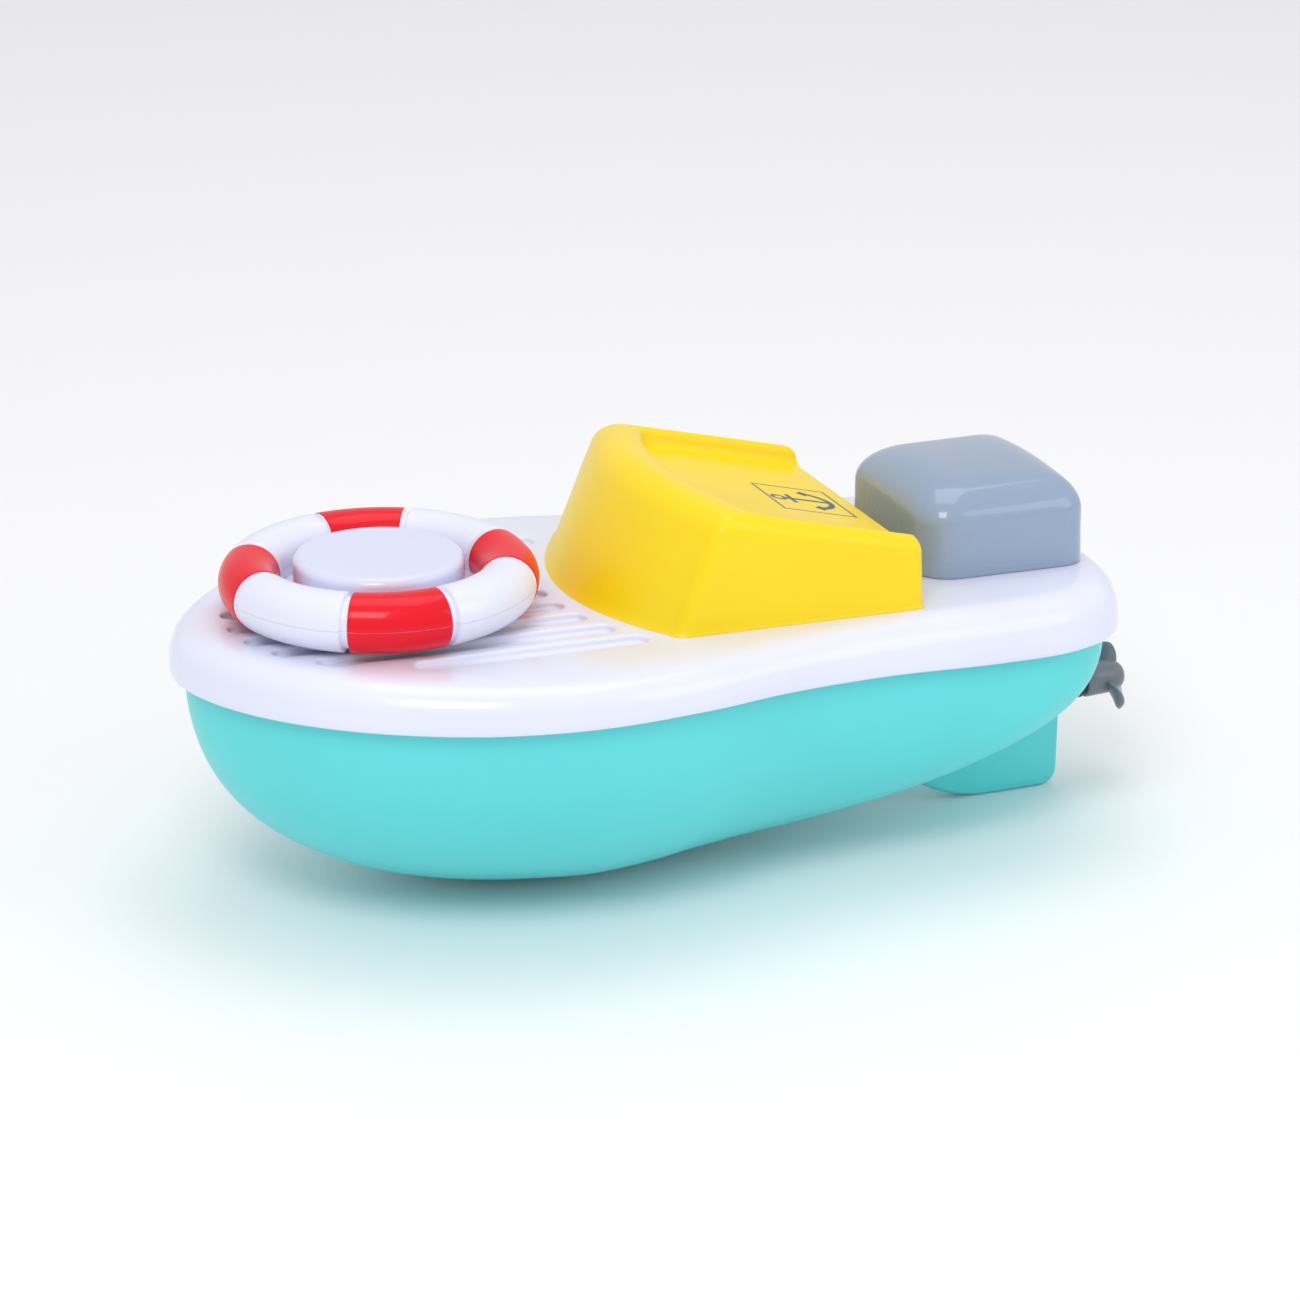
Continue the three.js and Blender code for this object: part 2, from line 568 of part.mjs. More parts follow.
// The mainspring, wound round the winding shaft.
const springTurns = 4;
const springInner = 4.2;
const springOuter = 14.4;
const bandThickness = 0.8;
const spiral = new THREE.Shape();
const spiralSteps = springTurns * 12;
const spiralPoint = (k, side) => {
  const radius = springInner + (springOuter - springInner) * k / spiralSteps
    + side * bandThickness / 2;
  const angle = 2 * Math.PI * springTurns * k / spiralSteps;
  return [ringX + radius * Math.cos(angle), radius * Math.sin(angle)];
};
spiral.moveTo(...spiralPoint(0, 1));
for (let k = 1; k <= spiralSteps; k += 1) spiral.lineTo(...spiralPoint(k, 1));
for (let k = spiralSteps; k >= 0; k -= 1) spiral.lineTo(...spiralPoint(k, -1));
spiral.closePath();
add('mainspring', prism(spiral, ...springLevel), steel);

// ---------------------------------------------------------------- gearbox
const caseWall = 1.6;
const caseFloorZ = mainLevel[0] - 0.8;
const caseRear = crownX + 18;
const drumRadius = 18.2;
const caseHalf = 15.2;
const deepFront = crownX - 13.5;
const deepFloorZ = propZ - 7.8;
const deepHalf = 13.4;
const caseTopZ = lidLevel[0] - gap;
const caseShape = (inset) => {
  const shape = new THREE.Shape();
  const radius = drumRadius - inset;
  const half = caseHalf - inset;
  shape.absarc(ringX, 0, radius, Math.PI / 2, 3 * Math.PI / 2);
  shape.lineTo(crownX, -half);
  shape.lineTo(caseRear - inset, inset - deepHalf);
  shape.lineTo(caseRear - inset, deepHalf - inset);
  shape.lineTo(crownX, half);
  shape.closePath();
  return shape;
};
const gearboxLower = (() => {
  const drum = solid(prism(caseShape(0), caseFloorZ - caseWall, caseTopZ, 12));
  const deep = solid(block(deepFront, caseRear, -deepHalf, deepHalf, deepFloorZ, caseFloorZ));
  const drumRoom = solid(prism(caseShape(caseWall), caseFloorZ, 60, 12));
  const deepRoom = solid(block(deepFront + caseWall, caseRear - caseWall,
    caseWall - deepHalf, deepHalf - caseWall, deepFloorZ + caseWall, caseFloorZ + 1));
  return drum.add(deep).subtract(drumRoom).subtract(deepRoom)
    .add(solid(cylinder(idlerX, 0, caseFloorZ - caseWall - 1.6, caseFloorZ, 3, 16)))
    .add(solid(cylinder(crownX, 0, deepFloorZ, crownPitchZ - 1.6, 3, 16)))
    .subtract(solid(cylinder(ringX, 0, shaftLowZ - gap, 60, shaftRadius + gap, 20)))
    .subtract(solid(cylinder(idlerX, 0, caseFloorZ - caseWall - 0.4, 60, pinRadius + gap, 12)))
    .subtract(solid(cylinder(crownX, 0, deepFloorZ + 1, 60, pinRadius + gap, 12)))
    .subtract(solid(cylinderX(propPinionX + 3, 40, pinRadius + gap, 0, propZ, 12)));
})();
const caseScrews = [[crownX + 14, 8.6], [crownX + 14, -8.6], [ringX - 20.4, 0]];
const casePost = ([x, y]) => solid(cylinder(x, y, caseFloorZ - caseWall, caseTopZ, 2.6, 14))
  .subtract(solid(cylinder(x, y, 30, 60, 1.3, 10)));
add('gearbox_lower', geometryOf(caseScrews.reduce((body, at) => body
  .subtract(solid(cylinder(...at, 30, 60, 1.3, 10))).add(casePost(at)), gearboxLower)), natural);

const gearboxUpper = (() => {
  let body = solid(prism(caseShape(0), ...lidLevel, 12));
  for (const [x, y] of gearboxPosts) {
    body = body.add(solid(cylinder(x, y, ...lidLevel, 4, 18)));
    body = body.subtract(solid(cylinder(x, y, 40, 50, 1.4, 10)));
  }
  for (const [x, y] of caseScrews) {
    body = body.add(solid(cylinder(x, y, ...lidLevel, 3.2, 14)));
    body = body.subtract(solid(cylinder(x, y, 40, 50, 1.4, 10)));
  }
  return body.subtract(solid(cylinder(ringX, 0, 40, 50, shaftRadius + gap, 24)))
    .subtract(solid(cylinder(idlerX, 0, 40, 50, pinRadius + gap, 12)))
    .subtract(solid(cylinder(crownX, 0, 40, 50, pinRadius + gap, 12)));
})();
add('gearbox_upper', geometryOf(gearboxUpper), natural);

const axle = (name, x, low) => add(name, cylinder(x, 0, low, lidLevel[1], pinRadius, 12), steel);
axle('idler_axle', idlerX, caseFloorZ - caseWall);
axle('crown_axle', crownX, deepFloorZ + 1 + gap);
caseScrews.forEach(([x, y], i) =>
  screw(`gearbox_screw_${i + 1}`, x, y, lidLevel[1] + gap + 1.4, lidLevel[1] - 9));
gearboxPosts.forEach(([x, y], i) =>
  screw(`gearbox_mount_screw_${i + 1}`, x, y, lidLevel[0] - gap - 1.4, lidLevel[1] + 3.2, 2.4));

// ---------------------------------------------------------------- fixing screws
screwPosts.forEach(([x, y], i) => screw(`hull_screw_${i + 1}`, x, y, screwSeatZ - 1.7, deckZ - 5));
cabinScrews.forEach(([x, y], i) =>
  screw(`cabin_screw_${i + 1}`, x, y, deckTopZ(x) - wall - gap - 1.4, deckTopZ(x) + 3.4));
coverScrews.forEach(([x, y], i) =>
  screw(`cover_screw_${i + 1}`, x, y, deckTopZ(x) - wall - gap - 1.4, deckTopZ(x) + 5));

// ---------------------------------------------------------------- seals
add('shaft_seal', new THREE.TorusGeometry(3.7, 0.8, 6, 16).translate(ringX, 0, deckZ + 0.15), rubber);

// ---------------------------------------------------------------- propeller drive
const tubeEnds = [46, 79.5];
const tube = solid(cylinderX(...tubeEnds, 3.1))
  .add(solid(cylinderX(tubeEnds[1] - 1.6, tubeEnds[1], 4)))
  .subtract(solid(cylinderX(40, 90, pinRadius + gap, 0, propZ, 12)))
  .subtract(solid(cylinderX(tubeEnds[1] - 2.2, 90, 2.5, 0, propZ, 16)));
add('stern_tube', geometryOf(tube), darkGrey);
add('stern_seal', new THREE.TorusGeometry(1.85, 0.5, 6, 12).rotateY(Math.PI / 2)
  .translate(tubeEnds[1] - 1.2, 0, propZ), rubber);
add('propeller_shaft', cylinderX(propPinionX - 2.6, propHub[1] - 2.6, pinRadius, 0, propZ, 12), steel);

const bladeShape = (() => {
  const shape = new THREE.Shape();
  shape.moveTo(-1.6, 1.5);
  shape.quadraticCurveTo(-3.4, 3.6, -2.4, 5.6);
  shape.quadraticCurveTo(-1.6, propTipRadius, 0, propTipRadius);
  shape.quadraticCurveTo(1.6, propTipRadius, 2.4, 5.6);
  shape.quadraticCurveTo(3.4, 3.6, 1.6, 1.5);
  shape.closePath();
  return shape;
})();
const bladeThickness = 1.4;
const bladePitch = 0.75;          // radians, turn of a blade out of the propeller's disc
const propellerBody = (() => {
  const [fore, aft] = propHub;
  const profile = [[0, fore], [3.1, fore], [3.2, fore + 0.4], [3, aft - 3], [2.2, aft - 0.8],
    [1.1, aft], [0, aft]];
  let body = solid(new THREE.LatheGeometry(
    profile.map(([r, h]) => new THREE.Vector2(r, h)), 20).rotateZ(-Math.PI / 2));
  for (let i = 0; i < bladeCount; i += 1) {
    const blade = new THREE.ExtrudeGeometry(bladeShape,
      { depth: bladeThickness, bevelEnabled: false, curveSegments: 4 })
      .translate(0, 0, -bladeThickness / 2).rotateY(Math.PI / 2).rotateX(Math.PI / 2)
      .rotateZ(bladePitch).rotateX(2 * Math.PI * i / bladeCount + bladeTurn * Math.PI / 180)
      .translate(bladeX, 0, 0);
    body = body.add(solid(blade));
  }
  return body.subtract(solid(cylinderX(fore - 5, aft - 2.2, pinRadius + gap, 0, 0, 12)));
})();
add('propeller', geometryOf(propellerBody), darkGrey).position.set(0, 0, propZ);

// ---------------------------------------------------------------- ballast
const ballastBox = { x: [-38, -14], halfWidth: 7, z: [ballastLowZ, 9.1] };
let ballast = solid(block(...ballastBox.x, -ballastBox.halfWidth, ballastBox.halfWidth,
  ...ballastBox.z));
for (const [x, y] of ballastScrews) {
  ballast = ballast.subtract(solid(cylinder(x, y, 0, 20, 1.4, 10)));
}
add('ballast_weight', geometryOf(ballast), steel);
ballastScrews.forEach(([x, y], i) =>
  screw(`ballast_screw_${i + 1}`, x, y, ballastBox.z[1] + gap + 1.4, wall + 0.5, 2.4));

export default group;
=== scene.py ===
import json
import math

import bmesh
import bpy
import numpy as np
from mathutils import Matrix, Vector

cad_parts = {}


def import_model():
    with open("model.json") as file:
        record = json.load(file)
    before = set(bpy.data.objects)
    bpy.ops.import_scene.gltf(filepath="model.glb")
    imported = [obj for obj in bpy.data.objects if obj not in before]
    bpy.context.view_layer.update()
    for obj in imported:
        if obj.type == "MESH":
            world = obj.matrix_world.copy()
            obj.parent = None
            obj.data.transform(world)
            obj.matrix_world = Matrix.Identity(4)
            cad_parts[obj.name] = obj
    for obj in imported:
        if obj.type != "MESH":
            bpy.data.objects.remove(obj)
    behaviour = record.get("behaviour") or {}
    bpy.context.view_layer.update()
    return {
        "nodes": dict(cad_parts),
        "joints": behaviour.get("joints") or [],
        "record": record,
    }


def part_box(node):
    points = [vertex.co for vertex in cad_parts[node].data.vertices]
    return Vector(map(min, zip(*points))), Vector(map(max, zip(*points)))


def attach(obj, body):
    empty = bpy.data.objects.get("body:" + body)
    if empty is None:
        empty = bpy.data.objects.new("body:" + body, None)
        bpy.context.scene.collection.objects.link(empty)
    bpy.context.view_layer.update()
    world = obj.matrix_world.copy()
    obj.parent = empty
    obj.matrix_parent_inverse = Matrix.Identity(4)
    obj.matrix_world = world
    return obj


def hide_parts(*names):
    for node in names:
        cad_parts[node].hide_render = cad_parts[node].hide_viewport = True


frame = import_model()

# Shapes are drawn in millimetres with X running aft, and placed on the CAD's deck and joints.
deckLow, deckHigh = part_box("deck")
jointPlace = {joint["name"]: joint["pos_m"] for joint in frame["joints"]}
bowX = -89.7
sternX = 77.6
unit = (deckHigh.x - deckLow.x) / (sternX - bowX)
ringX = bowX + (jointPlace["ring_spin"][0] - deckLow.x) / unit
ringZ = jointPlace["ring_spin"][2] / unit
propZ = jointPlace["propeller_spin"][2] / unit
# the gap under the cabin and the cover, and the number of points round the boat
seat = 0.03
around = 480


def world(points):
    moved = np.asarray(points, float) * unit
    moved[:, 0] += deckLow.x - bowX * unit
    return [Vector(point) for point in moved]


def eased(value):
    value = np.clip(value, 0, 1)
    return value * value * (3 - 2 * value)


# ---- shader sockets
class Socket:
    def __init__(self, tree, output=None):
        self.tree = tree
        self.output = output

    def node(self, kind, settings, inputs, wanted=0):
        made = self.tree.nodes.new(kind)
        for name, value in settings.items():
            setattr(made, name, value)
        for key, value in inputs.items():
            if isinstance(value, Socket):
                self.tree.links.new(value.output, made.inputs[key])
            else:
                made.inputs[key].default_value = value
        return Socket(self.tree, made.outputs[wanted] if made.outputs else None)

    def maths(self, operation, *values):
        return self.node("ShaderNodeMath", {"operation": operation}, dict(enumerate(values)))

    def __add__(self, other):
        return self.maths("ADD", self, other)

    def __radd__(self, other):
        return self.maths("ADD", other, self)

    def __sub__(self, other):
        return self.maths("SUBTRACT", self, other)

    def __rsub__(self, other):
        return self.maths("SUBTRACT", other, self)

    def __mul__(self, other):
        return self.maths("MULTIPLY", self, other)

    def __rmul__(self, other):
        return self.maths("MULTIPLY", other, self)

    def __truediv__(self, other):
        return self.maths("DIVIDE", self, other)

    def __pow__(self, other):
        return self.maths("POWER", self, other)

    def blend(self, share, first, second):
        return self.node("ShaderNodeMix", {"data_type": "RGBA"}, {0: share, 6: first, 7: second}, 2)

    def noise(self, place, scale, detail=2.0, roughness=0.5):
        return self.node("ShaderNodeTexNoise", {},
                         {"Vector": place, "Scale": scale, "Detail": detail, "Roughness": roughness})

    def step(self, value, low, high):
        return self.node("ShaderNodeMapRange", {"interpolation_type": "SMOOTHSTEP"},
                         {0: value, 1: low, 2: high, 3: 0.0, 4: 1.0})


def tint(red, green, blue):
    return [((part / 255 + 0.055) / 1.055) ** 2.4 for part in (red, green, blue)] + [1.0]


def surface(name, look, mark=None):
    made = bpy.data.materials.new(name)
    made.use_nodes = True
    tree = made.node_tree
    tree.nodes.clear()
    root = Socket(tree)
    place = root.node("ShaderNodeTexCoord", {}, {}, "Object")
    cloud = root.noise(place, 38.0, 3.0)
    grain = root.noise(place, look["grainScale"], 3.0, 0.6)
    stretched = root.node("ShaderNodeVectorMath", {"operation": "MULTIPLY"},
                          {0: place, 1: look.get("stretch", (60.0, 900.0, 900.0))})
    streaks = root.noise(stretched, 1.0, 2.0)
    darker = [part * look["shade"] for part in look["colour"][:3]] + [1.0]
    colour = root.blend(root.step(cloud, 0.3, 0.75), look["colour"], darker)
    roughness = look["roughness"] + (cloud - 0.5) * look["roughSpread"]
    roughness = roughness + root.step(streaks, 0.62, 0.78) * look["scuffs"]
    if mark:
        share = mark(root, place)
        colour = root.blend(share, colour, look["markColour"])
    height = grain + root.noise(place, 130.0, 1.0) * look["wave"]
    if look.get("brushed"):
        height = height + streaks * look["brushed"]
    bump = root.node("ShaderNodeBump", {},
                     {"Strength": look["bump"], "Distance": 0.0001, "Height": height})
    shader = root.node("ShaderNodeBsdfPrincipled", {}, {
        "Base Color": colour, "Roughness": roughness, "Normal": bump,
        "Metallic": look.get("metal", 0.0), "Coat Weight": look.get("coat", 0.0),
        "Coat Roughness": look.get("coatRoughness", 0.08),
        "Specular IOR Level": look.get("specular", 0.3)})
    root.node("ShaderNodeOutputMaterial", {}, {"Surface": shader})
    return made


plastic = {"grainScale": 2600.0, "shade": 0.965, "roughness": 0.42, "roughSpread": 0.08,
           "scuffs": 0.05, "wave": 0.35, "bump": 0.06}
gloss = {**plastic, "roughness": 0.3, "bump": 0.035, "coat": 0.6, "coatRoughness": 0.1}
print("stage: helpers ready")


# ---- meshes
# A skin over closed rings of points, with or without its end caps.
def loft(bm, rings, first=True, last=True):
    verts = [bm.verts.new(point) for point in world(rings[0])]
    edges = [bm.edges.new(pair) for pair in zip(verts, verts[1:] + verts[:1])]
    start = edges
    for ring in rings[1:]:
        made = bmesh.ops.extrude_edge_only(bm, edges=edges)["geom"]
        fresh = {item for item in made if isinstance(item, bmesh.types.BMVert)}
        verts = [next(edge.other_vert(vert) for edge in vert.link_edges
                      if edge.other_vert(vert) in fresh) for vert in verts]
        for vert, point in zip(verts, world(ring)):
            vert.co = point
        edges = [bm.edges.get(pair) for pair in zip(verts, verts[1:] + verts[:1])]
    for face in bm.faces:
        face.smooth = True
    for loop, wanted in ((start, first), (edges, last)):
        if wanted:
            for face in bmesh.ops.edgeloop_fill(bm, edges=loop)["faces"]:
                face.smooth = False
    return start, edges


# A profile of (radius, distance along the axis), turned round an upright or a fore and aft axis.
def turn(bm, profile, centre, upright=True, steps=96, closed=False):
    x, y, z = centre
    points = [(x + r, y, z + h) if upright else (x + h, y, z + r) for r, h in profile]
    verts = [bm.verts.new(point) for point in world(points)]
    pairs = list(zip(verts, verts[1:])) + ([(verts[-1], verts[0])] if closed else [])
    edges = [bm.edges.new(pair) for pair in pairs]
    bmesh.ops.spin(bm, geom=verts + edges, cent=world([centre])[0], steps=steps, angle=2 * math.pi,
                   axis=(0, 0, 1) if upright else (1, 0, 0), dvec=(0, 0, 0), use_merge=True)
    bmesh.ops.remove_doubles(bm, verts=bm.verts, dist=1e-7)
    for face in bm.faces:
        face.smooth = True


def rod(bm, centre, radius, low, high, upright=True, steps=40):
    turn(bm, [(0, low), (radius, low), (radius, high), (0, high)],
         (*centre, 0) if upright else (0, *centre), upright, steps)


def asObject(bm, name):
    bmesh.ops.recalc_face_normals(bm, faces=bm.faces)
    mesh = bpy.data.meshes.new(name)
    bm.to_mesh(mesh)
    bm.free()
    made = bpy.data.objects.new(name, mesh)
    bpy.context.scene.collection.objects.link(made)
    return made


# The piece joined with, cut by or kept inside the mesh in bm.
def carve(piece, operation, bm):
    tool = asObject(bm, "tool")
    modifier = piece.modifiers.new("carve", "BOOLEAN")
    modifier.operation = operation
    modifier.solver = "EXACT"
    modifier.object = tool
    bpy.context.view_layer.update()
    mesh = bpy.data.meshes.new_from_object(piece.evaluated_get(bpy.context.evaluated_depsgraph_get()))
    piece.modifiers.clear()
    old = piece.data
    piece.data = mesh
    mesh.name = old.name
    bpy.data.meshes.remove(old)
    bpy.data.meshes.remove(tool.data)


# Gives a finished piece its materials, its body and the CAD nodes that it stands for.
def settle(piece, materials, body, nodes, crease=32):
    for index, wanted in enumerate(materials):
        if index < len(piece.data.materials):
            piece.data.materials[index] = wanted
        else:
            piece.data.materials.append(wanted)
    piece.data.set_sharp_from_angle(angle=math.radians(crease))
    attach(piece, body)
    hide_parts(*nodes)
    print("made", piece.name, len(piece.data.polygons))


# ---- plan of the boat
halfPlan = [(bowX, 0), (-87.4, 10.5), (-81.4, 21), (-72.5, 30.3), (-61, 38.2), (-47, 44.2),
            (-29.5, 47), (-11.5, 45), (5, 40.6), (25, 37), (46.5, 36), (61, 34.2), (71, 29), (76, 19),
            (77.4, 8), (sternX, 0)]


# A smooth closed curve through the points, as evenly spaced samples.
def closedCurve(points, count):
    points = np.array(points, float)
    samples = []
    for index in range(len(points)):
        p = [points[(index + k) % len(points)] for k in (-1, 0, 1, 2)]
        t = [max(np.linalg.norm(p[k + 1] - p[k]), 1e-6) ** 0.5 for k in range(3)]
        steps = [(p[k + 1] - p[k]) / t[k] for k in range(3)]
        before = (steps[0] - (p[2] - p[0]) / (t[0] + t[1]) + steps[1]) * t[1]
        after = (steps[1] - (p[3] - p[1]) / (t[1] + t[2]) + steps[2]) * t[1]
        for u in np.linspace(0, 1, 60, endpoint=False):
            samples.append((2 * u ** 3 - 3 * u ** 2 + 1) * p[1] + (u ** 3 - 2 * u ** 2 + u) * before
                           + (3 * u ** 2 - 2 * u ** 3) * p[2] + (u ** 3 - u ** 2) * after)
    samples = np.array(samples + [samples[0]])
    length = np.concatenate([[0], np.cumsum(np.linalg.norm(np.diff(samples, axis=0), axis=1))])
    wanted = np.linspace(0, length[-1], count, endpoint=False)
    return np.stack([np.interp(wanted, length, samples[:, k]) for k in range(2)], 1)


plan = closedCurve(halfPlan + [(x, -y) for x, y in halfPlan[-2:0:-1]], around)


def insetPlan(inset):
    along = np.roll(plan, -1, 0) - np.roll(plan, 1, 0)
    along /= np.linalg.norm(along, axis=1)[:, None]
    return plan + np.stack([along[:, 1], -along[:, 0]], 1) * inset


deckFall = 0.0145


def deckTop(x):
    return ringZ - 6 - deckFall * (x - ringX)


def skirtLow(x):
    return ringZ - 13.8 - 3.6 * eased((x + 30) / 100)


def hullTop(x):
    return deckTop(x) - 5.5


screwPosts = [(-65, 21.5), (-65, -21.5), (54, 19), (54, -19)]
gearboxPosts = [(-38, 20.5), (-38, -20.5)]
cabinScrews = [(20, 22), (20, -22)]
coverScrews = [(55.5, 10.5), (55.5, -10.5)]
# ends of the cutting rods, clear of the boat's shell
under = 30
over = 60

# ---- deck
deck = {"colour": tint(232, 235, 254), "grooves": 9, "pitch": 6.8, "width": 4.0, "depth": 1.1,
        "wall": 2.2, "roundIn": 7.6, "skirt": 0.2, "postRadius": 3.6, "postDrop": 18.1,
        "mountRadius": 2.8, "mountDrop": 11.4, "hullScrew": 1.4, "smallScrew": 1.3,
        "shaftBoss": 7, "shaftBore": 2.8, "shaftRecess": 4.7}


def deckRing(inset, rise, thickness=0.0):
    flat = insetPlan(inset)
    low = skirtLow(flat[:, 0])
    height = deckTop(flat[:, 0]) - low
    return np.column_stack([flat, low + rise * height - thickness])


def capsule(fore, aft, y, radius, depth):
    turns = np.radians(np.linspace(90, 270, 15))
    points = [(fore + radius * np.cos(a), y + radius * np.sin(a)) for a in turns]
    points += [(aft - radius * np.cos(a), y - radius * np.sin(a)) for a in turns]
    return np.array([(x, y, deckTop(x) - depth) for x, y in points])


def makeDeck():
    bm = bmesh.new()
    inside = [(7.6, 1, deck["wall"]), (6.2, 0.985, deck["wall"]), (4.8, 0.94, deck["wall"]),
              (3.4, 0.8, 1.6), (2.3, 0.55, 0.8), (1.8, 0.2, 0), (1.7, 0, 0)]
    lip = [(1.1, -0.01), (0.5, 0.0), (0.2, 0.03), (0.05, 0.09)]
    rings = [deckRing(*part) for part in inside + lip]
    for theta in np.linspace(math.pi / 2, 0, 20):
        inset = deck["roundIn"] * (1 - max(math.sin(theta), 0) ** (2 / 2.6))
        rise = deck["skirt"] + (1 - deck["skirt"]) * max(math.cos(theta), 0) ** (2 / 2.4)
        rings.append(deckRing(inset, rise))
    start, edges = loft(bm, rings, last=False)
    loops = list(edges)
    for index in range(deck["grooves"]):
        y = (index - (deck["grooves"] - 1) / 2) * deck["pitch"]
        radius = deck["width"] / 2
        fore = ringX - math.sqrt(27.5 ** 2 - y ** 2) + radius + 0.9
        aft = ringX + 30 + 7.2 * (y / 26.2) ** 2 - radius
        profile = [(0.55, 0), (0.32, 0.05), (0.12, 0.2), (0, 0.45), (0, 0.7), (-0.12, 0.92),
                   (-0.32, 1.06), (-0.6, deck["depth"])]
        grown = [capsule(fore, aft, y, radius + extra, depth) for extra, depth in profile]
        loops += loft(bm, grown, first=False)[0]
    top = bmesh.ops.triangle_fill(bm, use_beauty=True, edges=loops, normal=(deckFall, 0, 1))
    for item in top["geom"]:
        if isinstance(item, bmesh.types.BMFace):
            item.smooth = False
    piece = asObject(bm, "deck_visual")
    bosses = bmesh.new()
    shaftTop = deckTop(ringX)
    rod(bosses, (ringX, 0), deck["shaftBoss"], shaftTop - 3.6, shaftTop + 0.5)
    for x, y in screwPosts:
        rod(bosses, (x, y), deck["postRadius"], ringZ - deck["postDrop"], deckTop(x) - 1)
    for x, y in gearboxPosts:
        rod(bosses, (x, y), deck["mountRadius"], ringZ - deck["mountDrop"], deckTop(x) - 1)
    carve(piece, "UNION", bosses)
    holes = bmesh.new()
    bore, recess = deck["shaftBore"], deck["shaftRecess"]
    turn(holes, [(0, 40), (bore, 40), (bore, shaftTop - 1), (recess, shaftTop - 1), (recess, 62),
                 (0, 62)], (ringX, 0, 0))
    for x, y in screwPosts:
        rod(holes, (x, y), deck["hullScrew"], under, deckTop(x) - 2.5)
    for x, y in gearboxPosts:
        rod(holes, (x, y), deck["smallScrew"], under, deckTop(x) - 2.5)
    for x, y in cabinScrews + coverScrews:
        rod(holes, (x, y), deck["smallScrew"], under, over)
    carve(piece, "DIFFERENCE", holes)
    paint = surface("deck white", {**gloss, "colour": deck["colour"]})
    settle(piece, [paint], "root", ["deck"])


makeDeck()

# ---- hull
hull = {"colour": tint(98, 222, 224), "inset": 2.4, "wall": 2.2, "middleX": -13.5, "belly": 0.35,
        "skegThickness": 4.0, "bossRadius": 5.2, "bossEnd": 73.5, "bossStart": 46, "tubeBore": 3.5,
        "postRadius": 4.6, "postDrop": 18.4, "bore": 3.0, "boreDrop": 25, "plugGap": 0.02,
        "plugDrop": 27.2}
# polynomials in x / 80 that say how full the hull's sections are along its length
sections = {"fullness": (0.75, 0.74, 2.46), "bilge": (-0.54, 0.68, 1.07, 2.06)}


def keel(x):
    return -0.4 + 11.71 * np.maximum(0, (x + 24.66) / 72.66) ** 1.19


def hullRing(depth, thickness, floor):
    flat = insetPlan(hull["inset"] + thickness)
    px = flat[:, 0]
    fullness = np.polyval(sections["fullness"], px / 80)
    reach = (1 - depth ** fullness) ** (1 / np.polyval(sections["bilge"], px / 80))
    x = hull["middleX"] + (px - hull["middleX"]) * reach
    z = hullTop(x) - depth * (hullTop(x) - keel(x) - thickness) - floor
    z = floor + (z + np.sqrt(z * z + hull["belly"] ** 2)) / 2
    return np.column_stack([x, flat[:, 1] * reach, z])


# The fin below the stern, seen from the side.
def skegOutline():
    def bend(a, b, c, count):
        return [tuple((1 - t) ** 2 * np.array(a) + 2 * t * (1 - t) * np.array(b) + t * t * np.array(c))
                for t in np.linspace(0, 1, count)]
    return (bend((38, 12), (48, 0.4), (60, 0), 20) + [(66, 0.03)]
            + bend((71.5, 0.1), (74.5, 0.3), (74.6, 3.2), 12) + [(74.8, 13.5), (66, 24), (38, 24)])


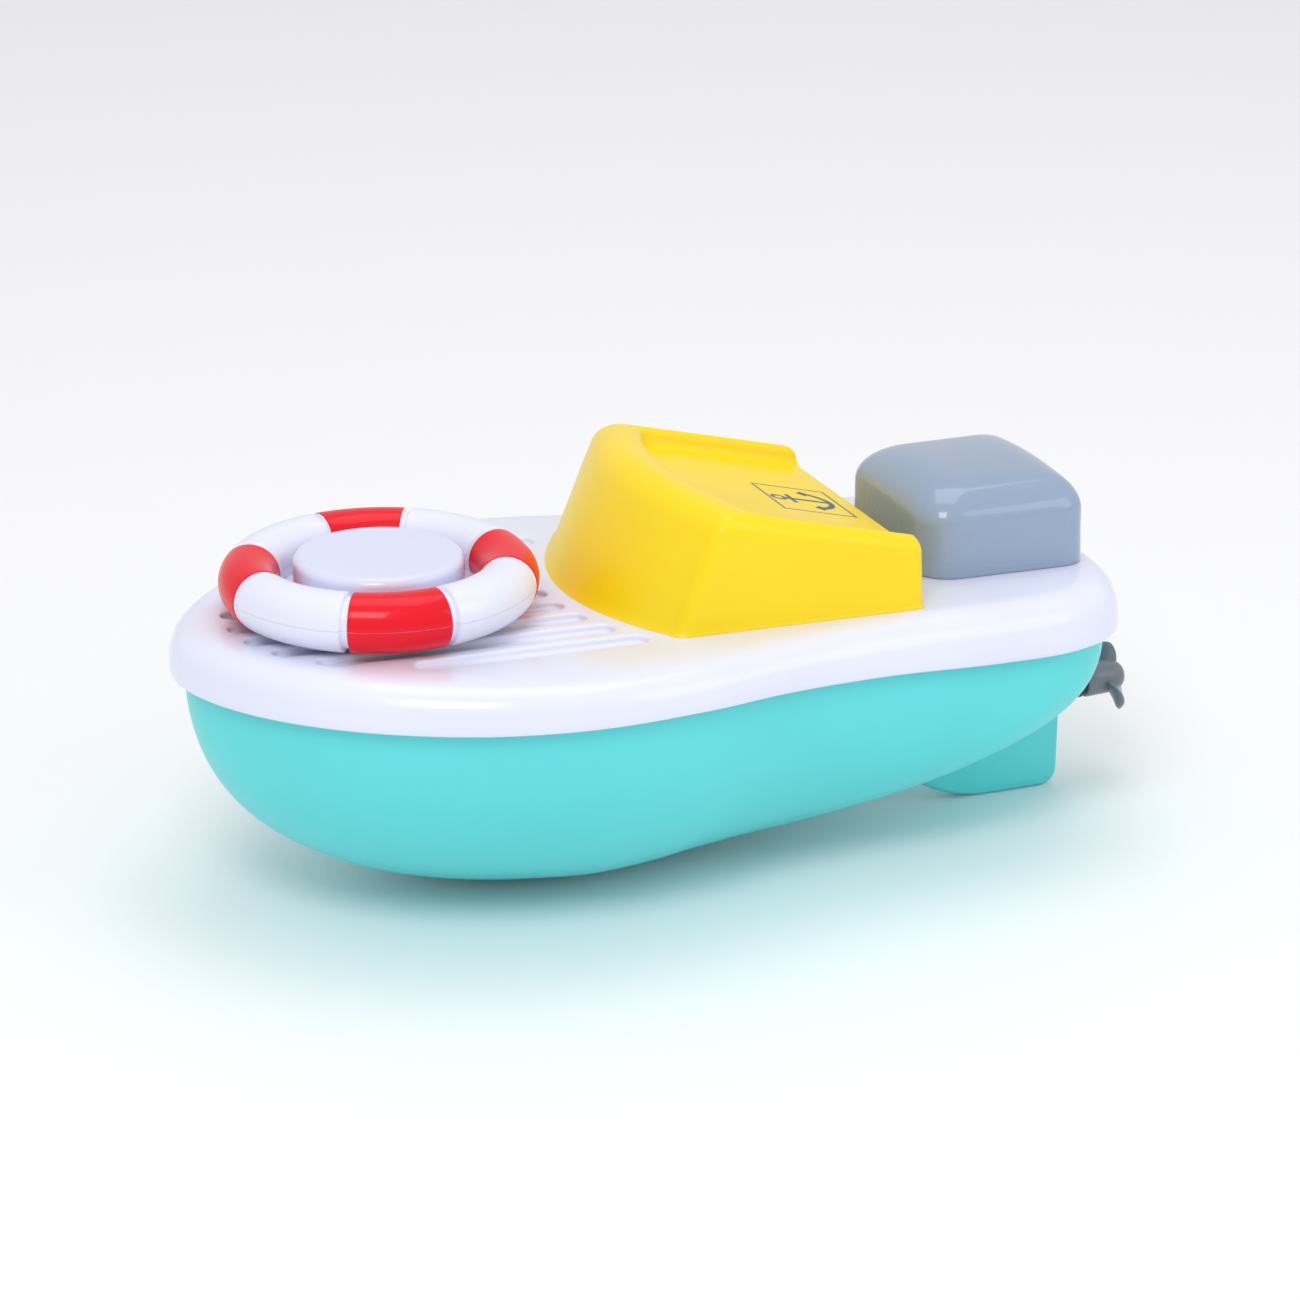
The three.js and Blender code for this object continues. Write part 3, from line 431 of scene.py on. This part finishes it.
def makeHull():
    bm = bmesh.new()
    steps = 1 - (1 - np.linspace(0, 1, 54)) ** 2.1
    steps = np.minimum(steps, 0.9997)
    loft(bm, [hullRing(depth, 0, 0) for depth in steps])
    piece = asObject(bm, "hull_visual")
    plugs = []
    for index, (x, y) in enumerate(screwPosts):
        plug = asObject(bmesh.new(), "hull_plug_visual_" + str(index + 1))
        plug.data = piece.data.copy()
        core = bmesh.new()
        rod(core, (x, y), hull["bore"] - hull["plugGap"], -5, ringZ - hull["plugDrop"], True, 64)
        carve(plug, "INTERSECT", core)
        plugs.append(plug)
    skeg = bmesh.new()
    half = hull["skegThickness"] / 2
    side = np.array([(x, 0, z) for x, z in skegOutline()])
    middle = np.array([60, 0, 14])
    layers = []
    for across, shrink in ((-half, 0.045), (-half + 0.25, 0.018), (-half + 0.7, 0), (half - 0.7, 0),
                           (half - 0.25, 0.018), (half, 0.045)):
        layers.append(middle + (side - middle) * (1 - shrink) + (0, across, 0))
    loft(skeg, layers)
    carve(piece, "UNION", skeg)
    boss = bmesh.new()
    start, end, radius = hull["bossStart"], hull["bossEnd"], hull["bossRadius"]
    turn(boss, [(0, start), (radius, start), (radius, end - 0.5), (radius - 0.3, end - 0.15),
                (radius - 0.7, end), (0, end)], (0, 0, propZ), False)
    carve(piece, "UNION", boss)
    room = bmesh.new()
    inside = [hullRing(depth, hull["wall"], hull["wall"]) for depth in steps[::2]]
    loft(room, [inside[0] + (0, 0, 3)] + inside)
    room = asObject(room, "room")
    posts = bmesh.new()
    for x, y in screwPosts:
        rod(posts, (x, y), hull["postRadius"], 0, ringZ - hull["postDrop"])
    rod(posts, (0, propZ), radius, start, 90, False)
    carve(room, "DIFFERENCE", posts)
    opened = bmesh.new()
    opened.from_mesh(room.data)
    bpy.data.meshes.remove(room.data)
    carve(piece, "DIFFERENCE", opened)
    holes = bmesh.new()
    bore, top, thread = hull["bore"], ringZ - hull["boreDrop"], deck["hullScrew"]
    for x, y in screwPosts:
        turn(holes, [(0, -6), (bore, -6), (bore, top), (thread, top), (thread, over), (0, over)],
             (x, y, 0), True, 64)
    rod(holes, (0, propZ), hull["tubeBore"], under, 90, False)
    carve(piece, "DIFFERENCE", holes)
    paint = surface("hull turquoise", {**plastic, "colour": hull["colour"], "roughness": 0.38,
                                       "coat": 0.12, "coatRoughness": 0.25})
    settle(piece, [paint], "root", ["hull", "skeg"])
    for index, plug in enumerate(plugs):
        settle(plug, [paint], "root", ["hull_plug_" + str(index + 1)])


makeHull()

# ---- cabin
cabin = {"colour": tint(255, 221, 26), "front": -10.9, "rear": 34.6, "half": 29.3, "bulge": 9.4,
         "corner": 2.3, "rake": 8.6, "draft": 0.2, "topZ": ringZ + 14.1, "fall": 0.25, "rim": 3.6,
         "recess": 3.2, "round": 3.4, "rearShare": 0.4, "wall": 2.0, "markX": 24.5, "markY": 0.0,
         "markSize": 6.6}


def quadratic(a, b, c, count):
    t = np.linspace(0, 1, count, endpoint=False)[:, None]
    return (1 - t) ** 2 * np.array(a) + 2 * t * (1 - t) * np.array(b) + t * t * np.array(c)


def straight(a, b, count):
    t = np.linspace(0, 1, count, endpoint=False)[:, None]
    return (1 - t) * np.array(a) + t * np.array(b)


# A rounded rectangle in plan, with its front bowed forward in the middle.
def roundedPlan(front, rear, half, bulge, corner):
    return np.concatenate([
        straight((rear, corner - half), (rear, half - corner), 20),
        quadratic((rear, half - corner), (rear, half), (rear - corner, half), 14),
        straight((rear - corner, half), (front + corner, half), 20),
        quadratic((front + corner, half), (front, half), (front - 0.3 * corner, half - corner), 14),
        quadratic((front - 0.3 * corner, half - corner), (front - 2 * bulge + 0.3 * corner, 0),
                  (front - 0.3 * corner, corner - half), 60),
        quadratic((front - 0.3 * corner, corner - half), (front, -half), (front + corner, -half), 14),
        straight((front + corner, -half), (rear - corner, -half), 20),
        quadratic((rear - corner, -half), (rear, -half), (rear, corner - half), 14)])


def roof(x):
    return cabin["topZ"] - cabin["fall"] * (x - cabin["front"] - cabin["rake"])


def cabinRing(rise, inset, lift=0.0, drop=0.0):
    rear = cabin["rear"] - 0.4 * rise - inset * cabin["rearShare"]
    flat = roundedPlan(cabin["front"] + cabin["rake"] * rise + inset, rear,
                       cabin["half"] - cabin["draft"] * rise - inset, cabin["bulge"] - 3.5 * rise,
                       cabin["corner"])
    base = deckTop(flat[:, 0]) + seat + lift
    return np.column_stack([flat, base + rise * (roof(flat[:, 0]) - drop - base)])


def panelRing(inset, above):
    flat = roundedPlan(cabin["front"] + cabin["rake"] + cabin["rim"] + 3 + inset, 60,
                       cabin["half"] - cabin["draft"] - cabin["rim"] - inset, cabin["bulge"] - 4, 2.6)
    return np.column_stack([flat, roof(flat[:, 0]) - cabin["recess"] + above])


# A small anchor in a frame, drawn from circles and bars.
def emblem(root, place):
    spot = root.node("ShaderNodeSeparateXYZ", {}, {0: place})
    along = Socket(root.tree, spot.output.node.outputs[0])
    across = Socket(root.tree, spot.output.node.outputs[1])
    up = Socket(root.tree, spot.output.node.outputs[2])
    centre = world([(cabin["markX"], cabin["markY"], 0)])[0]
    size = cabin["markSize"] * unit
    u = (across - centre.y) / size
    v = (centre.x - along) / size

    def within(value, limit):
        return 1 - root.step(value, limit - 0.03, limit + 0.03)

    def distance(cu, cv):
        return root.maths("SQRT", (u - cu) ** 2 + (v - cv) ** 2)

    absU = root.maths("ABSOLUTE", u)
    eye = within(root.maths("ABSOLUTE", distance(0, 0.72) - 0.17), 0.06)
    shaft = within(absU, 0.075) * within(root.maths("ABSOLUTE", v + 0.12), 0.68)
    bar = within(absU, 0.38) * within(root.maths("ABSOLUTE", v - 0.36), 0.065)
    arc = within(root.maths("ABSOLUTE", distance(0, -0.1) - 0.66), 0.085) * within(v, -0.24)
    fluke = within(root.maths("ABSOLUTE", absU - 0.64) + root.maths("ABSOLUTE", v + 0.24), 0.2)
    whole = root.maths("MAXIMUM", root.maths("MAXIMUM", eye, shaft), root.maths("MAXIMUM", bar, arc))
    outside = root.maths("MAXIMUM", absU - 1.12, root.maths("ABSOLUTE", v) - 1.02)
    whole = root.maths("MAXIMUM", root.maths("MAXIMUM", whole, fluke),
                       within(root.maths("ABSOLUTE", outside), 0.035))
    return whole * root.step(up, (ringZ - 3) * unit, (ringZ - 2) * unit)


def makeCabin():
    bm = bmesh.new()
    rings = [cabinRing(0, -0.4), cabinRing(0.012, -0.27), cabinRing(0.03, -0.12), cabinRing(0.055, -0.03)]
    rings += [cabinRing(rise, 0) for rise in (0.085, 0.3, 0.55, 0.72)]
    for theta in np.linspace(0, math.pi / 2, 15):
        rings.append(cabinRing(0.8 + 0.2 * math.sin(theta), cabin["round"] * (1 - math.cos(theta))))
    loft(bm, rings)
    piece = asObject(bm, "cabin_visual")
    cut = bmesh.new()
    depth = cabin["recess"]
    profile = [(1.5, 0), (1.05, 0.1), (0.65, 0.32), (0.32, 0.68), (0.12, 1.1), (0, 1.6),
               (-0.12, depth - 1), (-0.4, depth - 0.5), (-0.85, depth - 0.16), (-1.5, depth),
               (-2.6, depth + 0.6), (-4, depth + 12)]
    loft(cut, [panelRing(*part) for part in profile])
    carve(piece, "DIFFERENCE", cut)
    room = bmesh.new()
    loft(room, [cabinRing(rise, inset, -1, depth + cabin["wall"])
                for rise, inset in ((0, 2), (0.6, 2), (0.85, 2.2), (1, 3.4))])
    carve(piece, "DIFFERENCE", room)
    look = {**plastic, "colour": cabin["colour"], "roughness": 0.33, "coat": 0.15,
            "coatRoughness": 0.2, "specular": 0.25, "markColour": tint(24, 76, 104)}
    settle(piece, [surface("cabin yellow", look, emblem)], "root", ["cabin"])


makeCabin()

# ---- motor cover
cover = {"colour": tint(146, 165, 192), "front": 41.5, "rear": 71.5, "half": 18.0, "bulge": 1.9,
         "corner": 5.5, "topZ": ringZ + 9, "round": 9.0, "wall": 1.8, "crown": 1.6}


def coverRing(rise, inset, shrink=1.0, topZ=None):
    top = cover["topZ"] if topZ is None else topZ
    flat = roundedPlan(cover["front"] + inset, cover["rear"] - inset, cover["half"] - inset,
                       cover["bulge"], cover["corner"] - 0.5 * min(inset, 8))
    middle = np.array([(cover["front"] + cover["rear"]) / 2, 0])
    flat = middle + (flat - middle) * shrink
    base = deckTop(flat[:, 0]) + seat
    z = base + rise * (top - base) - rise * cover["crown"] * (flat[:, 1] / cover["half"]) ** 2
    return np.column_stack([flat, z])


def makeCover():
    bm = bmesh.new()
    rings = [coverRing(0, 0.25), coverRing(0.012, 0.06)]
    rings += [coverRing(rise, 0.35 * rise) for rise in (0.04, 0.2, 0.4)]
    for theta in np.linspace(0, math.pi / 2, 22):
        inset = 0.14 + (cover["round"] - 0.14) * (1 - math.cos(theta) ** (2 / 2.15))
        rings.append(coverRing(0.6 + 0.4 * math.sin(theta) ** (2 / 2.15), inset))
    rings += [coverRing(1, cover["round"], shrink) for shrink in (0.85, 0.7, 0.55, 0.4, 0.25, 0.1)]
    loft(bm, rings)
    piece = asObject(bm, "motor_cover_visual")
    room = bmesh.new()
    loft(room, [coverRing(rise, inset, 1, cover["topZ"] - cover["wall"])
                for rise, inset in ((-0.1, 1.9), (0.6, 2.1), (0.88, 4), (0.97, 8))])
    carve(piece, "DIFFERENCE", room)
    look = {**gloss, "colour": cover["colour"], "roughness": 0.26, "coat": 0.8,
            "coatRoughness": 0.05, "bump": 0.08}
    settle(piece, [surface("cover blue grey", look)], "root", ["motor_cover"])


makeCover()

# ---- life ring
ring = {"white": tint(234, 236, 253), "red": tint(236, 8, 36), "major": 22.0, "minor": 5.05,
        "neck": 0.75, "redStart": -101.0, "redHalf": 20.5, "neckHalf": 1.75, "neckRamp": 0.85,
        "wall": 1.5, "seam": 0.045, "steps": 720, "hexHalf": 3.9}


# Degrees from an angle to the nearest end of a red stretch, where the ring is necked in.
def neckDistance(angle):
    return min(abs((angle - ring["redStart"] - side * ring["redHalf"] + 45) % 90 - 45)
               for side in (-1, 1))


def inRed(angle):
    away = abs((angle - ring["redStart"] + 45) % 90 - 45)
    return away < ring["redHalf"] - ring["neckHalf"] + ring["neckRamp"] * 0.35


def arc(radius, low, high, count):
    margin = math.degrees(ring["seam"] / 2 / radius)
    return [(radius * math.cos(a), radius * math.sin(a))
            for a in np.radians(np.linspace(low + margin, high - margin, count))]


def makeRingShell(name, section, node):
    bm = bmesh.new()
    profile = [(ring["major"] + r, h) for r, h in section]
    turn(bm, profile, (ringX, 0, ringZ), True, ring["steps"], True)
    axis = world([(ringX, 0, ringZ)])[0]
    for vert in bm.verts:
        away = vert.co - axis
        flat = math.hypot(away.x, away.y)
        across = math.hypot(flat / unit - ring["major"], away.z / unit)
        if across < ring["minor"] - 0.3 or across > ring["minor"] + 0.02:
            continue
        past = neckDistance(math.degrees(math.atan2(away.y, away.x))) - ring["neckHalf"]
        sunk = 1 - float(eased((past + ring["neckRamp"]) / ring["neckRamp"]))
        scale = 1 - sunk * ring["neck"] / across
        spread = (ring["major"] * unit + (flat - ring["major"] * unit) * scale) / flat
        vert.co = axis + Vector((away.x * spread, away.y * spread, away.z * scale))
    for face in bm.faces:
        centre = face.calc_center_median() - axis
        across = math.hypot(math.hypot(centre.x, centre.y) / unit - ring["major"], centre.z / unit)
        if across > ring["minor"] - 0.25 and across < ring["minor"] + 0.02:
            face.material_index = int(inRed(math.degrees(math.atan2(centre.y, centre.x))))
    piece = asObject(bm, name)
    settle(piece, [ringWhite, ringRed], "ring", [node])


ringWhite = surface("ring white", {**gloss, "colour": ring["white"]})
ringRed = surface("ring red", {**gloss, "colour": ring["red"], "roughness": 0.35, "coat": 0.3,
                               "coatRoughness": 0.06, "specular": 0.15, "shade": 0.93})
innerRadius = ring["minor"] - ring["neck"] - ring["wall"]
makeRingShell("ring_upper_visual",
              arc(ring["minor"], 0, 180, 36) + arc(innerRadius, 0, 180, 16)[::-1], "ring_upper_shell")
# the lower shell's section also has a flat web that reaches in to the shaft
webTop = -2.0
webLow = -3.8
shellArc = arc(ring["minor"], 180, 360, 37)
web = [point for point in shellArc if point[0] < -2 and webLow < point[1] < webTop]
above = [point for point in shellArc if point[0] < -2 and point[1] >= webTop]
after = [point for point in shellArc if point not in web and point not in above]
hexIn = ring["hexHalf"] - ring["major"]
lowerSection = (above + [(-4.75, webTop), (-8, webTop), (hexIn + 0.3, webTop), (hexIn, webTop - 0.3),
                         (hexIn, webLow + 0.3), (hexIn + 0.3, webLow), (-8, webLow),
                         (-3.6, webLow)]
                + after + arc(innerRadius, 180, 360, 16)[::-1])
makeRingShell("ring_lower_visual", lowerSection, "ring_lower_shell")

# ---- hub cap
hub = {"colour": tint(222, 226, 252), "radius": 14.5, "topZ": ringZ + 4.7, "floorZ": ringZ - 1.7,
       "round": 1.7, "topWall": 1.8, "sideWall": 2.2}


def makeHub():
    bm = bmesh.new()
    radius, top, floor, roundness = hub["radius"], hub["topZ"], hub["floorZ"], hub["round"]
    ceiling, inside = top - hub["topWall"], radius - hub["sideWall"]
    outer = [(radius - roundness + roundness * math.sin(a), top - 1.6 + 1.6 * math.cos(a))
             for a in np.linspace(0, math.pi / 2, 12)]
    profile = [(0, ceiling), (inside - 0.4, ceiling), (inside, ceiling - 0.4), (inside, floor),
               (radius - 0.4, floor), (radius - 0.1, floor + 0.2), (radius, floor + 0.6)]
    profile += outer[::-1] + [(0, top)]
    turn(bm, profile, (ringX, 0, 0), True, 180)
    for face in bm.faces:
        if abs(face.normal.z) > 0.999 or face.calc_center_median().z / unit > top - 0.01:
            face.smooth = False
    paint = surface("hub white", {**gloss, "colour": hub["colour"]})
    settle(asObject(bm, "hub_cap_visual"), [paint], "ring", ["hub_cap"])


makeHub()

# ---- propeller and stern tube
propeller = {"colour": tint(118, 124, 133), "dark": tint(46, 51, 60), "fore": 80.0, "aft": 88.2,
             "tip": 6.6, "root": 1.4, "bladeX": 85.6, "turn": 127.0, "pitch": 0.45, "thickness": 2.4,
             "blades": 2, "bore": 1.3}


# One closed section across a blade, at a radius from the shaft.
def bladeSection(radius, half, thickness, pitch, angle):
    loop = []
    for a in np.linspace(0, 2 * math.pi, 28, endpoint=False):
        chord = half * math.cos(a)
        lift = thickness / 2 * math.sin(a) * (0.55 + 0.45 * abs(math.sin(a)))
        fore = lift * math.cos(pitch) - chord * math.sin(pitch)
        side = lift * math.sin(pitch) + chord * math.cos(pitch)
        loop.append((propeller["bladeX"] + fore, side * math.cos(angle) - radius * math.sin(angle),
                     propZ + side * math.sin(angle) + radius * math.cos(angle)))
    return np.array(loop)


def makePropeller():
    bm = bmesh.new()
    fore, aft = propeller["fore"], propeller["aft"]
    profile = [(0, fore), (2.8, fore), (3.05, fore + 0.12), (3.2, fore + 0.45), (3.15, fore + 2.2),
               (3, aft - 3), (2.8, aft - 1.9), (2.4, aft - 0.95), (1.8, aft - 0.35),
               (1.1, aft - 0.06), (0.5, aft), (0, aft)]
    turn(bm, profile, (0, 0, propZ), False)
    piece = asObject(bm, "propeller_visual")
    for index in range(propeller["blades"]):
        angle = math.radians(propeller["turn"]) + 2 * math.pi * index / propeller["blades"]
        blade = bmesh.new()
        rings = []
        for share in list(np.linspace(0, 0.9, 12)) + [0.94, 0.97, 0.99, 0.999]:
            radius = propeller["root"] + (propeller["tip"] - propeller["root"]) * share
            swell = 1.9 + 1.45 * math.sin(math.pi * min(share * 0.78, 1)) ** 0.9
            roundness = math.sqrt(max(1 - max(share - 0.62, 0) ** 2 / 0.38 ** 2, 0.0004))
            thickness = propeller["thickness"] * (1.1 - 0.45 * share) * min(1, roundness + 0.25)
            rings.append(bladeSection(radius, swell * roundness, thickness,
                                      propeller["pitch"] + 0.45 - 0.75 * share, angle))
        loft(blade, rings)
        carve(piece, "UNION", blade)
    bore = bmesh.new()
    rod(bore, (0, propZ), propeller["bore"], fore - 5, aft - 2.2, False)
    carve(piece, "DIFFERENCE", bore)
    grey = surface("propeller grey", {**plastic, "colour": propeller["colour"], "roughness": 0.34,
                                      "coat": 0.4})
    settle(piece, [grey], "propeller", ["propeller"])
    tube = bmesh.new()
    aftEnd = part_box("stern_tube")[1].x
    end = bowX + (aftEnd - deckLow.x) / unit
    inner = propeller["bore"]
    outline = [(inner, 46), (3.1, 46), (3.1, end - 0.3), (2.8, end), (2.5, end), (2.5, end - 2.2),
               (inner, end - 2.2)]
    turn(tube, outline, (0, 0, propZ), False, 96, True)
    dark = surface("stern tube dark", {**plastic, "colour": propeller["dark"]})
    settle(asObject(tube, "stern_tube_visual"), [dark], "root", ["stern_tube"])


makePropeller()

# ---- inner pieces and fasteners keep their CAD meshes
steel = surface("steel", {**plastic, "colour": tint(190, 193, 197), "metal": 1.0,
                          "roughness": 0.32, "brushed": 0.8, "bump": 0.1})
springSteel = surface("spring steel", {**plastic, "colour": tint(120, 124, 136), "metal": 1.0,
                                       "roughness": 0.3, "stretch": (900.0, 900.0, 40.0),
                                       "brushed": 0.9, "bump": 0.12})
rubber = surface("rubber", {**plastic, "colour": tint(38, 40, 43), "roughness": 0.78, "bump": 0.3,
                            "scuffs": 0.12, "shade": 0.8})
acetal = surface("natural acetal", {**plastic, "colour": tint(236, 232, 220), "roughness": 0.36})
gearBlue = surface("gear blue", {**plastic, "colour": tint(143, 183, 214), "roughness": 0.36})
inner = {"natural_plastic": acetal, "gear_plastic": gearBlue, "seal_rubber": rubber, "steel": steel}
slots = {part["node"]: part["material_slot"] for part in frame["record"]["subparts"]}
for name, node in frame["nodes"].items():
    if not node.hide_render:
        node.data.materials.clear()
        node.data.materials.append(springSteel if name == "mainspring" else inner[slots[name]])
print("stage: inner pieces dressed")

# ---- floor, light and camera
bm = bmesh.new()
bmesh.ops.create_grid(bm, x_segments=1, y_segments=1, size=4)
floor = asObject(bm, "floor")
floorLook = surface("floor", {**plastic, "colour": tint(250, 250, 252), "roughness": 0.6,
                              "bump": 0.0, "scuffs": 0.0, "shade": 0.995})
floor.data.materials.append(floorLook)

lookAt = Vector((-0.00359, -0.00006, 0.03617))
lights = [("key", (-0.35, -0.55, 0.75), 0.35, 2.4), ("fill", (0.65, -0.65, 0.5), 0.5, 1.0),
          ("top", (0.1, 0.15, 1.0), 0.6, 1.8)]
for name, spot, size, power in lights:
    lamp = bpy.data.lights.new(name, "AREA")
    lamp.size = size
    lamp.energy = power
    holder = bpy.data.objects.new(name, lamp)
    holder.location = spot
    holder.rotation_euler = (Vector(spot) - lookAt).to_track_quat("Z", "Y").to_euler()
    bpy.context.scene.collection.objects.link(holder)
sky = bpy.data.worlds.new("studio")
sky.use_nodes = True
background = sky.node_tree.nodes["Background"]
background.inputs["Color"].default_value = (1, 1, 1, 1)
background.inputs["Strength"].default_value = 0.7
bpy.context.scene.world = sky
bpy.context.scene.view_settings.view_transform = "Standard"

azimuth = math.radians(-21.9)
elevation = math.radians(20.3)
distance = 0.8
back = Vector((math.sin(azimuth) * math.cos(elevation), -math.cos(azimuth) * math.cos(elevation),
               math.sin(elevation)))
view = bpy.data.cameras.new("view")
view.lens = 127.6
view.sensor_width = 36
camera = bpy.data.objects.new("view", view)
camera.location = lookAt + back * distance
camera.rotation_euler = (-back).to_track_quat("-Z", "Y").to_euler()
bpy.context.scene.collection.objects.link(camera)
bpy.context.scene.camera = camera
